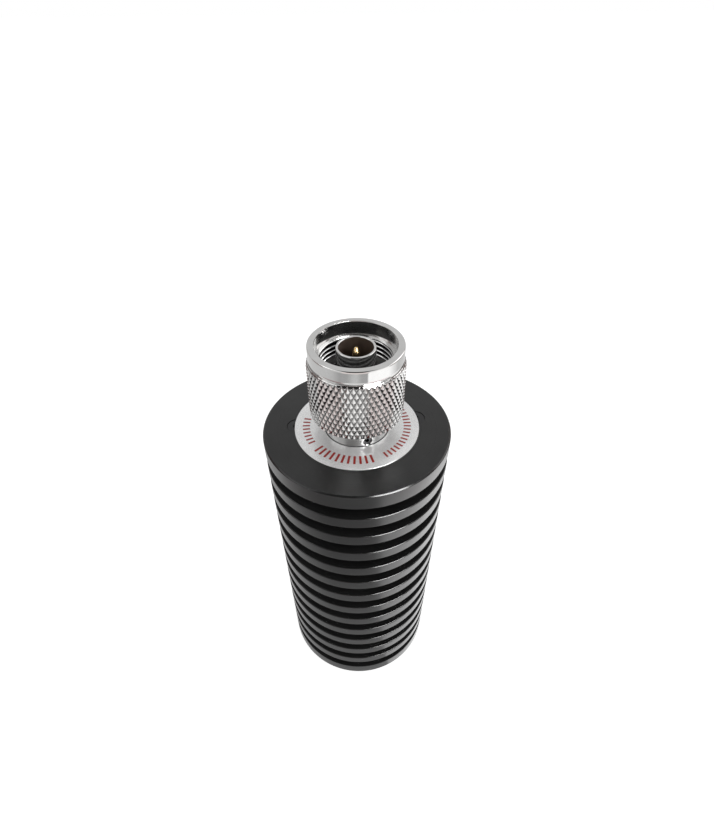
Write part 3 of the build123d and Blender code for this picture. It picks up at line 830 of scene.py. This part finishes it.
def round_levels(g, angle, levels):
    """Colour by angle, with straight runs between the given levels."""
    ramp = g.node("ValToRGB", g.span(angle, -180.0, 180.0))
    steps = ramp.color_ramp.elements
    while len(steps) < len(levels):
        steps.new(0.5)
    for step, (degrees, _, _) in zip(steps, levels):
        step.position = (degrees + 180) / 360
    for step, (_, level, red) in zip(steps, levels):
        step.color = (level * (1 + red), level, level, 1)
    return ramp.outputs[0]


def floor():
    """Pale floor: it keeps a soft shadow, and shows in reflections as a lit table in a room."""
    bpy.ops.mesh.primitive_plane_add(size=6)
    plane = bpy.context.object
    plane.name = "studio_floor"
    material = bpy.data.materials.new("studio_floor")
    material.use_nodes = True
    g = Graph(material.node_tree)
    g.tree.nodes.clear()
    x, y, _ = g.node("SeparateXYZ", g.place()).outputs
    reach = g.length(x, y)
    angle = front_angle(g, x, y)
    close = g.span(reach, *SINK_SHADE, 0.5, 0.0)
    level = g.mix(close, round_levels(g, angle, NEAR_FLOOR), grey(1.0))
    level = g.mix(g.span(reach, *TO_KNURL_FLOOR), level, round_levels(g, angle, KNURL_FLOOR))
    level = g.mix(g.span(reach, *TO_BAND_FLOOR), level, round_levels(g, angle, BAND_FLOOR))
    level = g.mix(g.span(reach, *TO_ROOM), level, surroundings(g, angle))
    reflected = g.node("LightPath").outputs["Is Glossy Ray"]
    glow = g.node("Emission", grey(0.8), g.seen_directly())
    matt = g.node("BsdfDiffuse", grey(0.45))
    both = g.node("AddShader", matt.outputs[0], glow.outputs[0])
    mirrored = g.node("Emission", level)
    shown = g.node("MixShader", reflected, both.outputs[0], mirrored.outputs[0])
    g.node("OutputMaterial", shown.outputs[0])
    plane.data.materials.append(material)


def room_part(g, angle, z, sides, heights):
    return g.times(
        g.span(angle, *sides[:2]), g.span(angle, *sides[2:], 1.0, 0.0),
        g.span(z, *heights[:2]), g.span(z, *heights[2:], 1.0, 0.0))


def world():
    """White where the camera sees it. Reflections have a dark ceiling, a dark viewer's side and a window."""
    sky = bpy.data.worlds.new("studio")
    bpy.context.scene.world = sky
    sky.use_nodes = True
    g = Graph(sky.node_tree)
    x, y, z = g.node("SeparateXYZ", g.node("TexCoord").outputs["Generated"]).outputs
    ceiling = g.span(z, 0.90, 0.97)
    back = g.times(
        g.span(g.math("ABSOLUTE", x), 0.22, 0.30, 1.0, 0.0),
        g.span(y, 0.15, 0.35, 1.0, 0.0),
        g.span(z, 0.46, 0.54))
    angle = front_angle(g, x, y)
    level = g.mix(g.span(z, 0.40, 0.50, 1.0, 0.0), grey(0.8), surroundings(g, angle))
    level = g.mix(ceiling, level, grey(0.3))
    level = g.mix(back, level, grey(0.04))
    sides, heights, brightness = VIEWER
    level = g.mix(room_part(g, angle, z, sides, heights), level, grey(brightness))
    path = g.node("LightPath").outputs
    sides, heights, brightness = WINDOW
    early = g.math("LESS_THAN", path["Ray Depth"], WINDOW_REFLECTIONS + 0.5)
    level = g.mix(g.times(room_part(g, angle, z, sides, heights), early), level, grey(brightness))
    colour = g.mix(path["Is Glossy Ray"], grey(1.0), level)
    background = g.tree.nodes["Background"]
    g.set(background.inputs["Color"], colour)
    g.set(background.inputs["Strength"], g.span(g.seen_directly(), 0.0, 1.0, 0.62, 1.0))


# Name, place and power of each lamp
LAMPS = (
    ("key", (-0.75, -0.25, 0.75), 2.3),
    ("fill", (0.9, 0.35, 0.55), 3.4),
)
LAMP_SIZE = 0.8
LAMP_AIM = (0, 0, 0.08)


def lamp(name, place, power):
    light = bpy.data.lights.new(name, "AREA")
    light.shape = "RECTANGLE"
    light.size = light.size_y = LAMP_SIZE
    light.energy = power
    lit = bpy.data.objects.new(name, light)
    bpy.context.scene.collection.objects.link(lit)
    lit.location = place
    lit.rotation_mode = "QUATERNION"
    lit.rotation_quaternion = (Vector(LAMP_AIM) - Vector(place)).to_track_quat("-Z", "Y")
    lit.visible_camera = False


# The camera of the photograph: metres and radians
CAMERA_PLACE = (0, -0.08206, 0.1594)
CAMERA_DOWN = 0.7646
CAMERA_ROLL = -0.011
CAMERA_LENS = 21.66
CAMERA_SHIFT = 0.0383


def camera():
    data = bpy.data.cameras.new("camera")
    data.lens = CAMERA_LENS
    data.sensor_width = 36.0
    data.shift_y = CAMERA_SHIFT
    data.clip_start = 0.005
    data.clip_end = 20
    view = bpy.data.objects.new("camera", data)
    bpy.context.scene.collection.objects.link(view)
    pitch = Matrix.Rotation(math.radians(90) - CAMERA_DOWN, 4, "X")
    roll = Matrix.Rotation(CAMERA_ROLL, 4, "Z")
    view.matrix_world = Matrix.Translation(CAMERA_PLACE) @ pitch @ roll
    bpy.context.scene.camera = view


floor()
world()
for name, place, power in LAMPS:
    lamp(name, place, power)
camera()
bpy.context.scene.view_settings.view_transform = "Standard"
